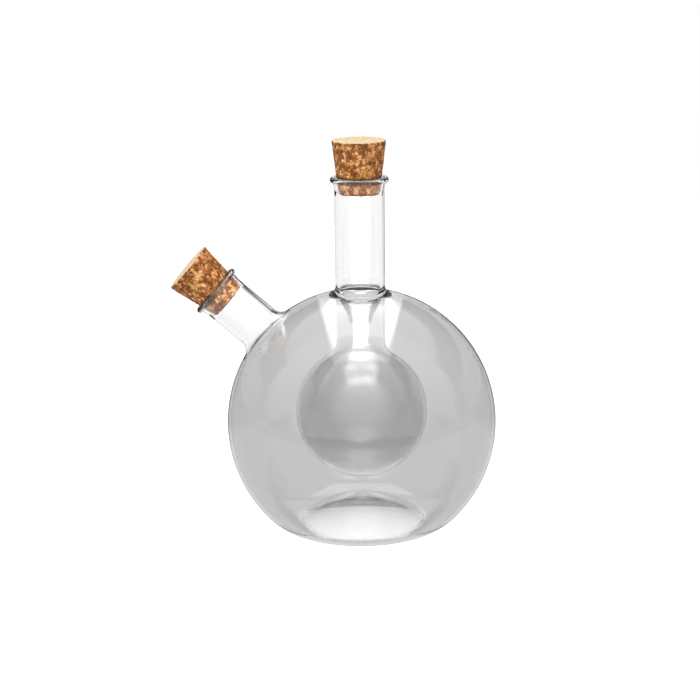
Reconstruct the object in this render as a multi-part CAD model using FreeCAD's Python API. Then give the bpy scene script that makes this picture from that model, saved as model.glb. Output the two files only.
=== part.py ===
"""Two-in-one oil and vinegar bottle: one blown-glass vessel with a flask inside it, and two corks.

The outer vessel is the oil chamber, poured through a slanting spout on its -X side. The flask inside
holds the vinegar. Its neck rises through the crown of the vessel, where the two are fused, so all the
glass is one solid. A tapered cork sits in the flared mouth of the neck and another in the spout's.

Frame: +Z up, origin at the centre of the base on the surface that the bottle stands on, and the spout
leans towards -X. Sizes are in millimetres. Places in a profile are (radius, height) pairs.
"""

import FreeCAD, Part
import math
import os

# Outer vessel
BODY_RADIUS = 53.9
BODY_CENTRE_HEIGHT = 42.5
BODY_WALL = 1.25
BASE_CORNER_RADIUS = 16.9
REST_FLAT_WIDTH = 1.0
PUNT_HEIGHT = 7.2
PUNT_EDGE_RADIUS = 6.0
FLOOR_THICKNESS = 1.25
FLOOR_CENTRE_THICKNESS = 3.3
FLOOR_TROUGH_RADIUS = 2.5

# Flask inside the vessel, with the neck that rises out of it
FLASK_RADIUS = 26.4
FLASK_CENTRE_HEIGHT = 46.8
FLASK_WALL = 1.3
FLASK_SHOULDER_RADIUS = 7.7
NECK_RADIUS = 9.75
NECK_WALL = 1.65
NECK_LIP_HEIGHT = 141.6
CROWN_WELD_RADIUS = 3.7
CROWN_WELD_INNER_RADIUS = 2.0

# Spout of the vessel
SPOUT_ANGLE = 41.3
SPOUT_AXIS_HEIGHT = 46.6
SPOUT_RADIUS = 9.3
SPOUT_WALL = 1.55
SPOUT_LIP_DISTANCE = 77.1
SPOUT_WELD_RADIUS = 5.0
SPOUT_WELD_INNER_EXTRA = 2.5
SEAM_TOLERANCE = 0.01

# Rolled lip, alike on both mouths
LIP_OVERHANG = 1.75
LIP_THICKNESS = 2.1
LIP_FLARE_HEIGHT = 3.0
MOUTH_EDGE_RADIUS = 0.5

# Corks
CORK_LENGTH = 21.0
CORK_TOP_RADIUS = 10.65
CORK_DEPTH_IN_NECK = 6.5
CORK_DEPTH_IN_SPOUT = 7.3
CORK_EDGE_RADIUS = 0.5
CORK_CLEARANCE = 0.08


def above(centre, radius, reach):
    """Height at which a circle about centre passes the given radius, on its upper side."""
    return centre[1] + math.sqrt(radius**2 - (reach - centre[0]) ** 2)


def toward(start, goal, distance):
    """The point that lies a distance from start in the direction of goal."""
    length = math.dist(start, goal)
    return tuple(a + (b - a) * distance / length for a, b in zip(start, goal))


def point(place):
    """A (radius, height) pair as a point of the XZ plane."""
    return FreeCAD.Vector(place[0], 0, place[1])


def line(start, end):
    return Part.LineSegment(point(start), point(end)).toShape()


def arc(centre, start, end):
    """The arc about centre from start to end, by the way that is under half a turn."""
    radius = math.dist(centre, start)
    chord_middle = tuple((a + b) / 2 for a, b in zip(start, end))
    middle = toward(centre, chord_middle, radius)
    return Part.Arc(point(start), point(middle), point(end)).toShape()


def revolve(edges):
    """The solid that a closed profile sweeps about the Z axis."""
    face = Part.Face(Part.Wire(edges))
    return face.revolve(FreeCAD.Vector(0, 0, 0), FreeCAD.Vector(0, 0, 1), 360)


def dome_over_ring(ring_radius, ring_height, rise, edge_radius):
    """A dome that rises from the lowest ring of a rounded edge.

    Gives the dome's centre, its top and the centre of the rounded edge. Dome and edge are tangent.
    """
    edge_centre = (ring_radius, ring_height + edge_radius)
    drop = edge_radius - rise
    dome_radius = (ring_radius**2 + drop**2 - edge_radius**2) / (2 * rise)
    top = (0, ring_height + rise)
    return (0, top[1] - dome_radius), top, edge_centre


def dome_edges(ring_radius, ring_height, rise, edge_radius):
    """Edges from the top of a dome on the axis down to the ring that it rises from."""
    centre, top, edge_centre = dome_over_ring(ring_radius, ring_height, rise, edge_radius)
    seam = toward(centre, edge_centre, math.dist(centre, top))
    ring = (ring_radius, ring_height)
    return [arc(centre, top, seam), arc(edge_centre, seam, ring)]


def corner_centre(sphere_radius, corner_radius, lowest):
    """Centre of the base corner's arc, which touches the sphere from inside and the height lowest."""
    height = lowest + corner_radius
    reach = math.sqrt((sphere_radius - corner_radius) ** 2 - (BODY_CENTRE_HEIGHT - height) ** 2)
    return (reach, height)


BODY_CENTRE = (0, BODY_CENTRE_HEIGHT)
FLASK_CENTRE = (0, FLASK_CENTRE_HEIGHT)
CHAMBER_RADIUS = BODY_RADIUS - BODY_WALL


def shoulder(bulb_radius, neck_radius, shoulder_radius):
    """The hollow shoulder from the flask's bulb to its neck: its arc's centre and two end points."""
    reach = neck_radius + shoulder_radius
    centre = (reach, above(FLASK_CENTRE, bulb_radius + shoulder_radius, reach))
    on_bulb = toward(FLASK_CENTRE, centre, bulb_radius)
    on_neck = (neck_radius, centre[1])
    return centre, on_bulb, on_neck


def lip_edges(outer_radius, height):
    """Edges of the rolled lip, from the tube's outside up over the bead to the axis at its top."""
    bead_radius = LIP_THICKNESS / 2
    bead_centre = (outer_radius + LIP_OVERHANG - bead_radius, height - bead_radius)
    under_bead = (bead_centre[0], bead_centre[1] - bead_radius)
    flare_start = (outer_radius, under_bead[1] - LIP_FLARE_HEIGHT)
    flare_end = (outer_radius + LIP_OVERHANG / 4, under_bead[1])
    bead_side = (outer_radius + LIP_OVERHANG, bead_centre[1])
    bead_top = (bead_centre[0], height)
    return flare_start, [
        line(flare_start, flare_end),
        line(flare_end, under_bead),
        arc(bead_centre, under_bead, bead_side),
        arc(bead_centre, bead_side, bead_top),
        line(bead_top, (0, height)),
    ]


def cork_slope(bore_radius):
    """How fast a cork widens along its length, when its small end fills the bore."""
    return (CORK_TOP_RADIUS - bore_radius) / CORK_LENGTH


def mouth_edges(bore_radius, lip_height, cork_depth):
    """Edges of a mouth's hollow: from the bore up the cork's seat, over the rounded edge, to the axis."""
    slope = cork_slope(bore_radius)
    seat_start = (bore_radius, lip_height - cork_depth - CORK_CLEARANCE / slope)
    edge_height = lip_height - MOUTH_EDGE_RADIUS
    edge_start = (bore_radius + (edge_height - seat_start[1]) * slope, edge_height)
    edge_end = (edge_start[0] + MOUTH_EDGE_RADIUS, lip_height)
    edge_centre = (edge_end[0], edge_height)
    clear_above = lip_height + LIP_THICKNESS
    return seat_start, [
        line(seat_start, edge_start),
        arc(edge_centre, edge_start, edge_end),
        line(edge_end, (edge_end[0], clear_above)),
        line((edge_end[0], clear_above), (0, clear_above)),
    ]


def vessel_envelope():
    """Outside of the vessel and of the neck above it, as if they were solid."""
    corner = corner_centre(BODY_RADIUS, BASE_CORNER_RADIUS, 0)
    rest_outer = (corner[0], 0)
    rest_inner_radius = corner[0] - REST_FLAT_WIDTH
    corner_end = toward(BODY_CENTRE, corner, BODY_RADIUS)
    weld_reach = NECK_RADIUS + CROWN_WELD_RADIUS
    weld = (weld_reach, above(BODY_CENTRE, BODY_RADIUS + CROWN_WELD_RADIUS, weld_reach))
    weld_start = toward(BODY_CENTRE, weld, BODY_RADIUS)
    weld_end = (NECK_RADIUS, weld[1])
    flare_start, lip = lip_edges(NECK_RADIUS, NECK_LIP_HEIGHT)
    edges = dome_edges(rest_inner_radius, 0, PUNT_HEIGHT, PUNT_EDGE_RADIUS)
    edges += [
        line((rest_inner_radius, 0), rest_outer),
        arc(corner, rest_outer, corner_end),
        arc(BODY_CENTRE, corner_end, weld_start),
        arc(weld, weld_start, weld_end),
        line(weld_end, flare_start),
    ]
    return revolve(edges + lip + [line((0, NECK_LIP_HEIGHT), (0, PUNT_HEIGHT))])


def chamber_hollow():
    """The oil chamber: all inside the vessel's wall and outside the flask."""
    trough = corner_centre(CHAMBER_RADIUS, BASE_CORNER_RADIUS - BODY_WALL, FLOOR_THICKNESS)
    trough_end = toward(BODY_CENTRE, trough, CHAMBER_RADIUS)
    weld_reach = NECK_RADIUS + CROWN_WELD_INNER_RADIUS
    weld = (weld_reach, above(BODY_CENTRE, CHAMBER_RADIUS - CROWN_WELD_INNER_RADIUS, weld_reach))
    weld_start = toward(BODY_CENTRE, weld, CHAMBER_RADIUS)
    weld_end = (NECK_RADIUS, weld[1])
    shoulder_centre, on_bulb, on_neck = shoulder(FLASK_RADIUS, NECK_RADIUS, FLASK_SHOULDER_RADIUS)
    rise = PUNT_HEIGHT + FLOOR_CENTRE_THICKNESS - FLOOR_THICKNESS
    flask_bottom = (0, FLASK_CENTRE_HEIGHT - FLASK_RADIUS)
    edges = dome_edges(trough[0], FLOOR_THICKNESS, rise, FLOOR_TROUGH_RADIUS)
    edges += [
        arc(trough, (trough[0], FLOOR_THICKNESS), trough_end),
        arc(BODY_CENTRE, trough_end, weld_start),
        arc(weld, weld_start, weld_end),
        line(weld_end, on_neck),
        arc(shoulder_centre, on_neck, on_bulb),
        arc(FLASK_CENTRE, on_bulb, flask_bottom),
        line(flask_bottom, (0, FLOOR_THICKNESS + rise)),
    ]
    return revolve(edges)


def flask_hollow():
    """Inside of the flask and of its neck, out through the mouth."""
    bulb_radius = FLASK_RADIUS - FLASK_WALL
    bore_radius = NECK_RADIUS - NECK_WALL
    centre, on_bulb, on_neck = shoulder(bulb_radius, bore_radius, FLASK_SHOULDER_RADIUS + NECK_WALL)
    bottom = (0, FLASK_CENTRE_HEIGHT - bulb_radius)
    seat_start, mouth = mouth_edges(bore_radius, NECK_LIP_HEIGHT, CORK_DEPTH_IN_NECK)
    edges = [arc(FLASK_CENTRE, bottom, on_bulb), arc(centre, on_bulb, on_neck), line(on_neck, seat_start)]
    return revolve(edges + mouth + [line((0, NECK_LIP_HEIGHT + LIP_THICKNESS), bottom)])


def along_spout(shape):
    """Moves a shape from its own upright axis to the spout's axis."""
    tilt = FreeCAD.Rotation(FreeCAD.Vector(0, 1, 0), SPOUT_ANGLE - 90)
    shape.Placement = FreeCAD.Placement(FreeCAD.Vector(0, 0, SPOUT_AXIS_HEIGHT), tilt)
    return shape


def spout_start():
    """Distance along the spout's axis, midway between the flask and the vessel's wall."""
    return (FLASK_RADIUS + CHAMBER_RADIUS) / 2


def spout_envelope():
    """Outside of the spout and its lip, as if they were solid."""
    flare_start, lip = lip_edges(SPOUT_RADIUS, SPOUT_LIP_DISTANCE)
    start = (SPOUT_RADIUS, spout_start())
    axis_start = (0, start[1])
    edges = [line(axis_start, start), line(start, flare_start)]
    return along_spout(revolve(edges + lip + [line((0, SPOUT_LIP_DISTANCE), axis_start)]))


def spout_hollow():
    """Bore of the spout, from inside the chamber out through the mouth."""
    bore_radius = SPOUT_RADIUS - SPOUT_WALL
    seat_start, mouth = mouth_edges(bore_radius, SPOUT_LIP_DISTANCE, CORK_DEPTH_IN_SPOUT)
    start = (bore_radius, spout_start())
    axis_start = (0, start[1])
    edges = [line(axis_start, start), line(start, seat_start)]
    closing = line((0, SPOUT_LIP_DISTANCE + LIP_THICKNESS), axis_start)
    return along_spout(revolve(edges + mouth + [closing]))


def joined_with_weld(body, tube, sphere_radius, tube_radius, weld_radius):
    """Joins the spout's tube to a round body and rounds the inside corner where they meet."""
    joined = body.fuse(tube).removeSplitter()
    axis = FreeCAD.Vector(-math.cos(math.radians(SPOUT_ANGLE)), 0, math.sin(math.radians(SPOUT_ANGLE)))
    foot = FreeCAD.Vector(0, 0, SPOUT_AXIS_HEIGHT)
    centre = FreeCAD.Vector(0, 0, BODY_CENTRE_HEIGHT)

    def on_both(vertex_point):
        off_axis = (vertex_point - foot).cross(axis).Length
        off_centre = (vertex_point - centre).Length
        near_tube = abs(off_axis - tube_radius) < SEAM_TOLERANCE
        return near_tube and abs(off_centre - sphere_radius) < SEAM_TOLERANCE

    real_edges = [edge for edge in joined.Edges if not edge.Degenerated]
    seam = [edge for edge in real_edges if all(on_both(p) for p in edge.discretize(9))]
    return joined.makeFillet(weld_radius, seam)


def bottle_glass():
    """All the glass: vessel, spout, flask and neck, fused into one piece."""
    outside = joined_with_weld(
        vessel_envelope(), spout_envelope(), BODY_RADIUS, SPOUT_RADIUS, SPOUT_WELD_RADIUS
    )
    oil_space = joined_with_weld(
        chamber_hollow(),
        spout_hollow(),
        CHAMBER_RADIUS,
        SPOUT_RADIUS - SPOUT_WALL,
        SPOUT_WELD_RADIUS + SPOUT_WELD_INNER_EXTRA,
    )
    return outside.cut(oil_space).cut(flask_hollow())


def cork(bore_radius, lip_height, depth):
    """A tapered cork whose small end fills the bore, standing upright in a mouth at lip_height."""
    base = FreeCAD.Vector(0, 0, lip_height - depth)
    body = Part.makeCone(bore_radius, CORK_TOP_RADIUS, CORK_LENGTH, base, FreeCAD.Vector(0, 0, 1))
    rims = [edge for edge in body.Edges if isinstance(edge.Curve, Part.Circle)]
    return body.makeFillet(CORK_EDGE_RADIUS, rims)


def main():
    pieces = {
        "bottle_glass": bottle_glass(),
        "neck_cork": cork(NECK_RADIUS - NECK_WALL, NECK_LIP_HEIGHT, CORK_DEPTH_IN_NECK),
        "spout_cork": along_spout(
            cork(SPOUT_RADIUS - SPOUT_WALL, SPOUT_LIP_DISTANCE, CORK_DEPTH_IN_SPOUT)
        ),
    }
    os.makedirs("parts", exist_ok=True)
    for name, shape in pieces.items():
        solid = shape.Solids[0]
        print(name, "solids", len(shape.Solids), "valid", shape.isValid(), "volume", round(shape.Volume, 1))
        solid.exportStep(f"parts/{name}.step")


main()
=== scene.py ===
import math

import bpy
from mathutils import Matrix, Vector, noise


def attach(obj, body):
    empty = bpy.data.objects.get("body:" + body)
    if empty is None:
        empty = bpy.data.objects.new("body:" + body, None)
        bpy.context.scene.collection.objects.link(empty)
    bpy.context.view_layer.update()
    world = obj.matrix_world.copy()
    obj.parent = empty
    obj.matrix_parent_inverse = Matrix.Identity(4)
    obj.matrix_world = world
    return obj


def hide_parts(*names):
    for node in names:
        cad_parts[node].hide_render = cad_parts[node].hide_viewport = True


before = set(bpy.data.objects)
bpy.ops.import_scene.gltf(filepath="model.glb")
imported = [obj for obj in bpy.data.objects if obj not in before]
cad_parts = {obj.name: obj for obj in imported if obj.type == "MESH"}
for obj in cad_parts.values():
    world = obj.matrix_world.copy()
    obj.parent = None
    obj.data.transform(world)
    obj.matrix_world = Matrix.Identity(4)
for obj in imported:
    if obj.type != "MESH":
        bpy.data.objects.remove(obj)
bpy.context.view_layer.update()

MM = 0.001

# Camera: a long lens that looks slightly down on the bottle
PICTURE_SIDE = 700
FOCAL_PIXELS = 1759.5
CAMERA_DISTANCE = 0.68
CAMERA_HEIGHT = 0.248
CAMERA_PITCH = 14.51
CAMERA_YAW = 0.368
CAMERA_ROLL = -0.68

# Glass: sizes of the vessel, then grey tints as (from, to, tint there, tint there). They run over the
# height, apart from the two that run over how far the surface turns away, from 0 to 1. Their grey is painted
# shade, standing in for the dim studio seen through clear glass, and its fall where the surface turns away
# is painted edge shade
BODY_CENTRE = (0.0, 0.0, 42.5 * MM)
BODY_RADIUS = 53.9 * MM
SHELL_INSIDE_RADIUS = 49.0 * MM
GLASS_IOR = 1.47
SHELL_SHADE_GREY = (45 * MM, 92 * MM, 0.745, 0.81)
SHELL_TURNED_SHADE = (0.26, 0.36, 1.0, 0.95)
BULB_SHADE_GREY = (24 * MM, 44 * MM, 0.81, 0.725)
FLASK_NECK_START = (66 * MM, 76 * MM)
CLEAR_TINT = 0.99
GRAZING_SHADE = (0.82, 0.95, 1.0, 0.1)
SHADOW_TINT = 0.95

# Corks, as in the CAD: a cone with rounded rims, cut from pressed granules
CORK_LENGTH = 21.0 * MM
CORK_TOP_RADIUS = 10.65 * MM
CORK_EDGE_RADIUS = 0.5 * MM
NECK_CORK = {
    "small_radius": 8.1 * MM,
    "bottom": 135.1 * MM,
    "axis_height": 0.0,
    "tilt": 0.0,
    "depth": 6.5 * MM,
}
SPOUT_CORK = {
    "small_radius": 7.75 * MM,
    "bottom": 69.8 * MM,
    "axis_height": 46.6 * MM,
    "tilt": -48.7,
    "depth": 7.3 * MM,
}
CORK_STEP = 0.2 * MM
EDGE_STEPS = 4
GRANULE = 1.25 * MM
CRACK_WIDTH = 0.30
CRACK_DEPTH = 0.30 * MM
GRANULE_DEPTH = 0.10 * MM
ROUGH_SIZE = 0.5 * MM
NOISE_SEED = 1
# A band of painted shade on each cork, for the shaded crevice under the glass lip
LIP_SHADE_ABOVE_FACE = 0.6 * MM
LIP_SHADE_HALF_WIDTH = 1.3 * MM

# Cork colours, from the darkest granule to the palest
CORK_TONES = (
    (0.08, (0.20, 0.070, 0.018)),
    (0.28, (0.42, 0.165, 0.050)),
    (0.48, (0.60, 0.27, 0.095)),
    (0.70, (0.80, 0.41, 0.165)),
    (0.95, (0.98, 0.70, 0.38)),
)
CRACK_COLOUR = (0.12, 0.040, 0.010, 1.0)
# Painted light: the large end face of a cork made paler, as if lit
END_FACE_LIGHT_COLOUR = (0.74, 0.64, 0.42, 1.0)
# Painted shade of the crevice under the lip
LIP_SHADE_COLOUR = (0.02, 0.010, 0.005, 1.0)

# Strength of the world as matte surfaces see it, then as outer reflections do. Azimuths are measured from
# the front, heights as the Z of the direction, panels as X/Z and Y/Z. Pairs are the limits of soft edges
PLAIN = 0.32
BEHIND = 0.3
FRONT_LOW = 0.45
FRONT_HIGH = 1.6
FRONT_TOP = 0.7
FRONT_EDGE = (math.radians(95), math.radians(101))
CEILING_EDGE = (0.56, 0.66)
PANEL = 2.5
PANEL_SIDE = (0.38, 0.43)
PANEL_FRONT = (-0.42, -0.36)
PANEL_LOW = (0.40, 0.50)

# What rays that leave through the glass see of the world
SIDE_IN = 0.06
BACKDROP_TOP = (math.sin(math.radians(14)), math.sin(math.radians(18)))
BACKDROP_EDGE = (math.radians(95), math.radians(115))
FRONT_IN = 2.0
FRONT_IN_RISE = 4.4
FRONT_IN_INNER = (math.radians(44), math.radians(50))
FRONT_IN_OUTER = (math.radians(60), math.radians(68))
FRONT_IN_TOP = (-0.28, -0.12)
PANEL_IN = 3.0
PANEL_IN_SIDE = (0.30, 0.36)
PANEL_IN_NEAR = (0.05, 0.12)
PANEL_IN_FAR = (1.0, 1.2)

# Floor: its paint, then what outer reflections see of it, then what rays through the glass see
FLOOR_HALF = 6.0
FLOOR_DROP = 0.2 * MM
FLOOR_PAINT = 0.85
FLOOR_GLOW = 0.5
WHITE_BEYOND = (0.3, 1.0)
FLOOR_FRONT = 1.1
FLOOR_BEHIND = 0.6
FLOOR_EDGE = (-55 * MM, -37 * MM)
FLOOR_EDGE_BEND = 0.05
FLOOR_DIM = 0.3
FLOOR_DIM_BEHIND = (60 * MM, 160 * MM)
FLOOR_DIM_ROUND = (300 * MM, 600 * MM)
FLOOR_IN = 1.0
WEDGE = 1.0
WEDGE_START = (215 * MM, 235 * MM)
WEDGE_SIDE = (-15 * MM, -11 * MM)
WEDGE_FLARE = 0.1
# A painted pool of light on the floor under the base, standing in for the caustic, as rays through the glass
# see it
SPOT_NEAR = 0.85
SPOT_FAR = 0.2
SPOT_RUN = (-18 * MM, 16 * MM)
SPOT_FRONT = (-23 * MM, -20 * MM)
SPOT_BACK = (20 * MM, 24 * MM)
SPOT_SIDE = (23.5 * MM, 28.5 * MM)
SPOT_FLARE = 0.42


class Graph:
    """Short ways to add and join nodes in one node tree."""

    def __init__(self, tree):
        self.tree = tree
        tree.nodes.clear()

    def add(self, kind, settings=None, **inputs):
        node = self.tree.nodes.new(kind)
        for name, value in (settings or {}).items():
            setattr(node, name, value)
        for name, value in inputs.items():
            self.feed(node.inputs[name.replace("_", " ")], value)
        return node

    def feed(self, socket, value):
        if isinstance(value, bpy.types.NodeSocket):
            self.tree.links.new(value, socket)
        else:
            socket.default_value = value

    def math(self, operation, first, *others):
        """Joins the values one by one, from the left."""
        for other in others:
            node = self.tree.nodes.new("ShaderNodeMath")
            node.operation = operation
            self.feed(node.inputs[0], first)
            self.feed(node.inputs[1], other)
            first = node.outputs[0]
        return first

    def times(self, *values):
        return self.math("MULTIPLY", *values)

    def total(self, *values):
        return self.math("ADD", *values)

    def less(self, value, other):
        return self.math("SUBTRACT", value, other)

    def absolute(self, value):
        return self.math("ABSOLUTE", value, 0.0)

    def remap(self, value, low, high, to_low=0.0, to_high=1.0, smooth=True):
        node = self.tree.nodes.new("ShaderNodeMapRange")
        node.interpolation_type = "SMOOTHSTEP" if smooth else "LINEAR"
        for name, item in zip(
            ("Value", "From Min", "From Max", "To Min", "To Max"),
            (value, low, high, to_low, to_high),
        ):
            self.feed(node.inputs[name], item)
        return node.outputs["Result"]

    def fade(self, value, low, high):
        return self.remap(value, low, high, 1.0, 0.0)

    def blend(self, factor, a, b):
        node = self.tree.nodes.new("ShaderNodeMix")
        node.data_type = "RGBA"
        self.feed(node.inputs[0], factor)
        self.feed(node.inputs[6], a)
        self.feed(node.inputs[7], b)
        return node.outputs[2]

    def mix_shader(self, factor, first, second):
        node = self.tree.nodes.new("ShaderNodeMixShader")
        self.feed(node.inputs[0], factor)
        self.tree.links.new(first, node.inputs[1])
        self.tree.links.new(second, node.inputs[2])
        return node.outputs[0]

    def vector(self, operation, a, b=(0.0, 0.0, 0.0)):
        node = self.tree.nodes.new("ShaderNodeVectorMath")
        node.operation = operation
        self.feed(node.inputs[0], a)
        self.feed(node.inputs[1], b)
        return node

    def axes(self, vector):
        node = self.add("ShaderNodeSeparateXYZ", Vector=vector)
        return tuple(node.outputs[name] for name in "XYZ")

    def grey_colour(self, level):
        return self.add("ShaderNodeCombineColor", Red=level, Green=level, Blue=level).outputs[0]

    def light(self, kind, level):
        return self.add(kind, Color=grey(1.0), Strength=level).outputs[0]

    def finish(self, kind, surface):
        self.tree.links.new(surface, self.add(kind).inputs["Surface"])


def new_material(name):
    material = bpy.data.materials.new(name)
    material.use_nodes = True
    return material, Graph(material.node_tree)


def grey(level):
    return (level, level, level, 1.0)


def add_camera():
    camera = bpy.data.objects.new("camera", bpy.data.cameras.new("camera"))
    bpy.context.scene.collection.objects.link(camera)
    camera.data.sensor_width = 36.0
    camera.data.lens = 36.0 * FOCAL_PIXELS / PICTURE_SIDE
    camera.data.clip_end = 20.0
    turn = (
        Matrix.Rotation(math.radians(CAMERA_YAW), 4, "Z")
        @ Matrix.Rotation(math.radians(90 - CAMERA_PITCH), 4, "X")
        @ Matrix.Rotation(math.radians(CAMERA_ROLL), 4, "Z")
    )
    camera.matrix_world = Matrix.Translation((0.0, -CAMERA_DISTANCE, CAMERA_HEIGHT)) @ turn
    bpy.context.scene.camera = camera


def outer_world(g, x, y, z, azimuth):
    """Outer reflections see a lit front half, a ceiling and a long panel overhead."""
    front = g.math("MAXIMUM", g.fade(azimuth, *FRONT_EDGE), g.remap(z, *CEILING_EDGE))
    rising = g.remap(z, 0.0, FRONT_TOP, FRONT_LOW, FRONT_HIGH, smooth=False)
    level = g.total(BEHIND, g.times(front, g.less(rising, BEHIND)))
    across = g.math("DIVIDE", g.absolute(x), z)
    along = g.math("DIVIDE", y, z)
    panel = g.times(g.fade(across, *PANEL_SIDE), g.remap(along, *PANEL_FRONT), g.remap(z, *PANEL_LOW))
    return g.total(level, g.times(panel, PANEL))


def inner_world(g, x, y, z, azimuth):
    """Rays through the glass see a white backdrop, a lit front and a panel overhead, with dark between."""
    backdrop = g.times(g.fade(z, *BACKDROP_TOP), g.remap(azimuth, *BACKDROP_EDGE))
    across = g.math("DIVIDE", g.absolute(x), z)
    along = g.math("DIVIDE", y, z)
    steps = [g.remap(azimuth, *edge, 0.5, 0.0) for edge in (FRONT_IN_INNER, FRONT_IN_OUTER)]
    front = g.times(g.total(*steps), g.fade(along, *FRONT_IN_TOP))
    front = g.times(front, g.total(FRONT_IN, g.times(z, z, FRONT_IN_RISE)))
    panel = g.times(g.remap(along, *PANEL_IN_NEAR), g.fade(along, *PANEL_IN_FAR))
    panel = g.times(g.fade(across, *PANEL_IN_SIDE), panel)
    return g.total(SIDE_IN, g.times(backdrop, 1.0 - SIDE_IN), front, g.times(panel, PANEL_IN))


def studio_world():
    """White for the camera. Reflections and views through the glass see a studio instead."""
    world = bpy.data.worlds.new("studio")
    bpy.context.scene.world = world
    world.use_nodes = True
    g = Graph(world.node_tree)
    path = g.add("ShaderNodeLightPath")
    x, y, z = g.axes(g.add("ShaderNodeTexCoord").outputs["Generated"])
    azimuth = g.absolute(g.math("ARCTAN2", x, g.times(y, -1.0)))
    result = g.light("ShaderNodeBackground", PLAIN)
    for flag, level in (
        ("Is Glossy Ray", outer_world(g, x, y, z, azimuth)),
        ("Is Transmission Ray", inner_world(g, x, y, z, azimuth)),
        ("Is Camera Ray", 1.0),
    ):
        result = g.mix_shader(path.outputs[flag], result, g.light("ShaderNodeBackground", level))
    g.finish("ShaderNodeOutputWorld", result)


def area_lamp(name, place, target, size, watts):
    data = bpy.data.lights.new(name, "AREA")
    data.shape = "RECTANGLE"
    data.size, data.size_y = size
    data.energy = watts
    lamp = bpy.data.objects.new(name, data)
    bpy.context.scene.collection.objects.link(lamp)
    lamp.location = place
    lamp.rotation_euler = (Vector(target) - Vector(place)).to_track_quat("-Z", "Y").to_euler()
    lamp.visible_glossy = False
    lamp.visible_transmission = False
    lamp.visible_camera = False


def outer_floor(g, y, aside, reach):
    """Outer reflections see the floor lit in front and dimmer behind and far away."""
    level = g.remap(g.less(y, g.times(aside, FLOOR_EDGE_BEND)), *FLOOR_EDGE, FLOOR_FRONT, FLOOR_BEHIND)
    behind = g.remap(y, *FLOOR_DIM_BEHIND, 1.0, FLOOR_DIM)
    return g.times(level, behind, g.remap(reach, *FLOOR_DIM_ROUND, 1.0, FLOOR_DIM))


def inner_floor(g, y, aside):
    """Rays through the glass see it white, with a painted pool of light from the base's caustic under it,
    and brighter in a wedge far behind the bottle.
    """
    # Painted pool of light: the caustic under the base
    side = g.fade(g.less(aside, g.times(y, SPOT_FLARE)), *SPOT_SIDE)
    run = g.remap(y, *SPOT_RUN, SPOT_NEAR, SPOT_FAR, smooth=False)
    spot = g.times(side, run, g.remap(y, *SPOT_FRONT), g.fade(y, *SPOT_BACK))
    wedge = g.fade(g.less(aside, g.times(y, WEDGE_FLARE)), *WEDGE_SIDE)
    return g.total(FLOOR_IN, g.times(wedge, g.remap(y, *WEDGE_START, 0.0, WEDGE)), spot)


def floor():
    """A white table that runs into the white world."""
    mesh = bpy.data.meshes.new("floor")
    side = FLOOR_HALF
    corners = [(-side, -side, 0), (side, -side, 0), (side, side, 0), (-side, side, 0)]
    mesh.from_pydata(corners, [], [(0, 1, 2, 3)])
    plane = bpy.data.objects.new("floor", mesh)
    plane.location.z = -FLOOR_DROP
    bpy.context.scene.collection.objects.link(plane)
    material, g = new_material("floor_white")
    path = g.add("ShaderNodeLightPath")
    camera_ray = path.outputs["Is Camera Ray"]
    place = g.add("ShaderNodeNewGeometry").outputs["Position"]
    x, y, _ = g.axes(place)
    aside = g.absolute(x)
    reach = g.vector("LENGTH", place).outputs["Value"]

    both = g.add("ShaderNodeAddShader")
    g.feed(both.inputs[0], g.add("ShaderNodeBsdfDiffuse", Color=grey(FLOOR_PAINT)).outputs[0])
    g.feed(both.inputs[1], g.light("ShaderNodeEmission", g.times(camera_ray, FLOOR_GLOW)))
    result = both.outputs[0]
    for factor, level in (
        (path.outputs["Is Glossy Ray"], outer_floor(g, y, aside, reach)),
        (path.outputs["Is Transmission Ray"], inner_floor(g, y, aside)),
        (g.times(camera_ray, g.remap(reach, *WHITE_BEYOND)), 1.0),
    ):
        result = g.mix_shader(factor, result, g.light("ShaderNodeEmission", level))
    g.finish("ShaderNodeOutputMaterial", result)
    mesh.materials.append(material)


def glass_material():
    """Clear glass with a grey of painted shade that goes by the wall: the vessel, the flask in it, and the
    clear neck and spout.
    """
    material, g = new_material("blown_glass")
    place = g.add("ShaderNodeTexCoord").outputs["Object"]
    from_centre = g.vector("SUBTRACT", place, BODY_CENTRE).outputs[0]
    reach = g.vector("LENGTH", from_centre).outputs["Value"]
    height = g.axes(place)[2]
    facing = g.add("ShaderNodeLayerWeight", Blend=0.5).outputs["Facing"]
    # Painted shade: the grey of the shell and the flask, which changes with height and falls where the
    # surface turns away
    shell = g.remap(height, *SHELL_SHADE_GREY, smooth=False)
    shell = g.times(shell, g.remap(facing, *SHELL_TURNED_SHADE))
    flask = g.remap(height, *FLASK_NECK_START, g.remap(height, *BULB_SHADE_GREY), CLEAR_TINT)
    inside = g.fade(reach, SHELL_INSIDE_RADIUS - MM, SHELL_INSIDE_RADIUS + MM)
    outside = g.remap(reach, BODY_RADIUS + 0.1 * MM, BODY_RADIUS + 2.1 * MM)
    tint_and_shade = g.remap(inside, 0.0, 1.0, shell, flask, smooth=False)
    tint_and_shade = g.remap(outside, 0.0, 1.0, tint_and_shade, CLEAR_TINT, smooth=False)
    # Painted edge shade: the grey falls to a tenth at grazing
    tint_and_shade = g.grey_colour(g.times(tint_and_shade, g.remap(facing, *GRAZING_SHADE)))
    glass = g.add("ShaderNodeBsdfPrincipled", Base_Color=tint_and_shade, Roughness=0.0, IOR=GLASS_IOR)
    glass.inputs["Transmission Weight"].default_value = 1.0
    through = g.add("ShaderNodeBsdfTransparent", Color=grey(SHADOW_TINT))
    shadow = g.add("ShaderNodeLightPath").outputs["Is Shadow Ray"]
    g.finish("ShaderNodeOutputMaterial", g.mix_shader(shadow, glass.outputs[0], through.outputs[0]))
    return material


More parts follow.
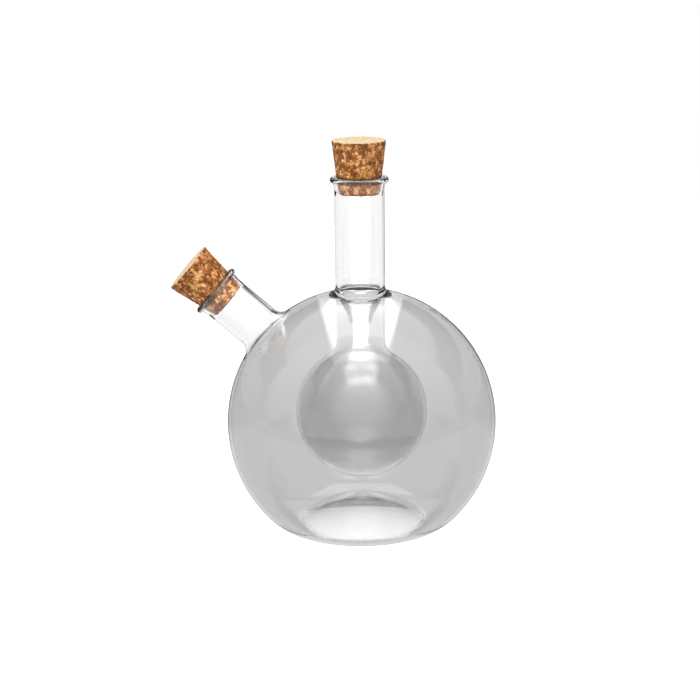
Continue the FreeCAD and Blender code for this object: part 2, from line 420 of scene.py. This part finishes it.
def ramp(g, value, stops):
    node = g.add("ShaderNodeValToRGB", Fac=value)
    points = node.color_ramp.elements
    for _ in stops[2:]:
        points.new(0.5)
    for point, (position, colour) in zip(points, stops):
        point.position = position
        point.color = (*colour, 1.0)
    return node.outputs["Color"]


def cork_material():
    """Pressed granules, each with its own brown and dark gaps between them; painted light on the large end
    face, painted shade under the lip.
    """
    material, g = new_material("pressed_cork")
    coordinates = g.add("ShaderNodeTexCoord")
    place = coordinates.outputs["Object"]
    tone, crack, lip_shade = (
        g.add("ShaderNodeAttribute", {"attribute_name": name}).outputs["Fac"]
        for name in ("granule_tone", "granule_crack", "lip_shade")
    )
    grain = g.add("ShaderNodeTexNoise", Vector=place, Scale=1500.0, Detail=3.0, Roughness=0.6)
    patch = g.add("ShaderNodeTexNoise", Vector=place, Scale=260.0, Detail=2.0)
    crumb = g.add("ShaderNodeTexVoronoi", Vector=place, Scale=1400.0)
    crumb_tone = g.add("ShaderNodeSeparateColor", Color=crumb.outputs["Color"]).outputs[0]
    mixed = g.total(
        g.times(tone, 0.38),
        g.times(crumb_tone, 0.34),
        g.remap(grain.outputs["Fac"], 0.3, 0.7, 0.0, 0.28, smooth=False),
        g.remap(patch.outputs["Fac"], 0.3, 0.7, -0.12, 0.12, smooth=False),
    )
    # Painted light on the large end face, picked by its normal along the cork's axis
    end_face_light = g.remap(g.axes(coordinates.outputs["Normal"])[2], 0.6, 0.85)
    colour = ramp(g, mixed, CORK_TONES)
    colour = g.blend(g.times(crack, 0.85), colour, CRACK_COLOUR)
    colour = g.blend(g.times(end_face_light, 0.72), colour, END_FACE_LIGHT_COLOUR)
    # Painted shade in a band under the lip
    colour = g.blend(g.times(lip_shade, 0.9), colour, LIP_SHADE_COLOUR)
    bump = g.add("ShaderNodeBump", Height=grain.outputs["Fac"], Strength=0.5, Distance=0.15 * MM)
    cork = g.add("ShaderNodeBsdfPrincipled", Base_Color=colour, Roughness=0.85, Normal=bump.outputs[0])
    cork.inputs["Specular IOR Level"].default_value = 0.25
    g.finish("ShaderNodeOutputMaterial", cork.outputs[0])
    return material


def cork_profile(small_radius):
    """Points and outward normals, from the middle of the small face up the side to that of the large."""
    lean = math.atan2(CORK_TOP_RADIUS - small_radius, CORK_LENGTH)
    low_turn = math.pi / 2 - lean
    low = (small_radius - CORK_EDGE_RADIUS * math.tan(low_turn / 2), CORK_EDGE_RADIUS)
    high_turn = math.pi / 2 + lean
    high = (CORK_TOP_RADIUS - CORK_EDGE_RADIUS * math.tan(high_turn / 2), CORK_LENGTH - CORK_EDGE_RADIUS)
    points = []

    def face(centre, height, normal, inward):
        count = round(centre[0] / CORK_STEP)
        rings = [(centre[0] * step / count, height, 0.0, normal) for step in range(count)]
        points.extend(reversed(rings) if inward else rings)

    def edge(centre, start, end):
        for step in range(EDGE_STEPS + 1):
            angle = start + (end - start) * step / EDGE_STEPS
            out, up = math.cos(angle), math.sin(angle)
            points.append((centre[0] + CORK_EDGE_RADIUS * out, centre[1] + CORK_EDGE_RADIUS * up, out, up))

    face(low, 0.0, -1.0, inward=False)
    edge(low, -math.pi / 2, -lean)
    out, down = math.cos(lean), math.sin(lean)
    start = points[-1][:2]
    end = (high[0] + CORK_EDGE_RADIUS * out, high[1] - CORK_EDGE_RADIUS * down)
    count = round(math.dist(start, end) / CORK_STEP)
    for step in range(1, count):
        share = step / count
        radius, height = (a + (b - a) * share for a, b in zip(start, end))
        points.append((radius, height, out, -down))
    edge(high, -lean, math.pi / 2)
    face(high, CORK_LENGTH, 1.0, inward=True)
    return points


def granule(place, seed):
    """Tone of the granule at a place, in -1 to 1, and how near its gap is, in 0 to 1."""
    spot = place / GRANULE + seed
    spot += 0.35 * noise.noise_vector(spot * 1.7)
    spot.z *= 0.8
    distances, centres = noise.voronoi(spot)
    tone = noise.cell(centres[0] * 3.7 + seed)
    gap = (distances[1] - distances[0]) / CRACK_WIDTH
    open_here = min(1.0, max(0.0, 0.55 + 1.3 * noise.noise(spot * 0.9 + seed)))
    return tone, max(0.0, 1.0 - gap) * open_here


def cork_piece(name, node, sizes, seed, material):
    """A cork on the CAD cone, with pits and cracks between its granules, and a band of painted shade where
    the lip's crevice meets it.
    """
    profile = cork_profile(sizes["small_radius"])
    around = round(2 * math.pi * CORK_TOP_RADIUS / CORK_STEP)
    vertices, tones, cracks, lip_shades = [], [], [], []
    for radius, height, out, up in profile:
        for step in range(around if radius > 0 else 1):
            angle = 2 * math.pi * step / around
            place = Vector((radius * math.cos(angle), radius * math.sin(angle), height))
            normal = Vector((out * math.cos(angle), out * math.sin(angle), up))
            tone, crack = granule(place, seed)
            rough = 0.5 + 0.5 * noise.noise(place / ROUGH_SIZE + seed)
            depth = CRACK_DEPTH * crack + GRANULE_DEPTH * (0.6 * tone + 0.4 * rough)
            vertices.append(place - normal * depth)
            tones.append(tone)
            cracks.append(crack)
            # Painted shade: a band on the cork at the crevice under the lip
            from_lip_shade = abs(height - sizes["depth"] + LIP_SHADE_ABOVE_FACE) / LIP_SHADE_HALF_WIDTH
            lip_shades.append(max(0.0, 1.0 - from_lip_shade) ** 0.3)
    faces = []
    last = len(vertices) - around - 1
    for step in range(around):
        after = (step + 1) % around
        faces.append((0, 1 + after, 1 + step))
        faces.append((last + step, last + after, len(vertices) - 1))
    for ring in range(len(profile) - 3):
        first = 1 + ring * around
        for step in range(around):
            after = (step + 1) % around
            faces.append((first + step, first + after, first + around + after, first + around + step))
    mesh = bpy.data.meshes.new(name)
    mesh.from_pydata(vertices, [], faces)
    for attribute, values in (("granule_tone", tones), ("granule_crack", cracks), ("lip_shade", lip_shades)):
        layer = mesh.attributes.new(attribute, "FLOAT", "POINT")
        layer.data.foreach_set("value", values)
    mesh.polygons.foreach_set("use_smooth", [True] * len(mesh.polygons))
    mesh.materials.append(material)
    piece = bpy.data.objects.new(name, mesh)
    bpy.context.scene.collection.objects.link(piece)
    tilt = Matrix.Rotation(math.radians(sizes["tilt"]), 4, "Y")
    along = Matrix.Translation((0.0, 0.0, sizes["bottom"]))
    piece.matrix_world = Matrix.Translation((0.0, 0.0, sizes["axis_height"])) @ tilt @ along
    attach(piece, "root")
    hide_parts(node)
    piece.visible_glossy = False


def give(node, material):
    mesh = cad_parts[node].data
    mesh.materials.clear()
    mesh.materials.append(material)


add_camera()
studio_world()
floor()
area_lamp("key", (-0.25, -0.7, 1.25), (0, 0, 0.08), (0.7, 0.7), 22)
area_lamp("fill", (0.9, -0.6, 0.7), (0, 0, 0.08), (0.8, 0.8), 2)
give("bottle_glass", glass_material())
cork = cork_material()
give("neck_cork", cork)
give("spout_cork", cork)
noise.seed_set(NOISE_SEED)  # noise_vector is seeded by the clock otherwise
cork_piece("neck_cork_granules", "neck_cork", NECK_CORK, Vector((3.1, 7.7, 1.9)), cork)
cork_piece("spout_cork_granules", "spout_cork", SPOUT_CORK, Vector((11.3, 2.4, 8.6)), cork)

scene = bpy.context.scene
scene.view_settings.view_transform = "Standard"
scene.cycles.max_bounces = 40
scene.cycles.transmission_bounces = 40
scene.cycles.glossy_bounces = 12
scene.cycles.transparent_max_bounces = 40
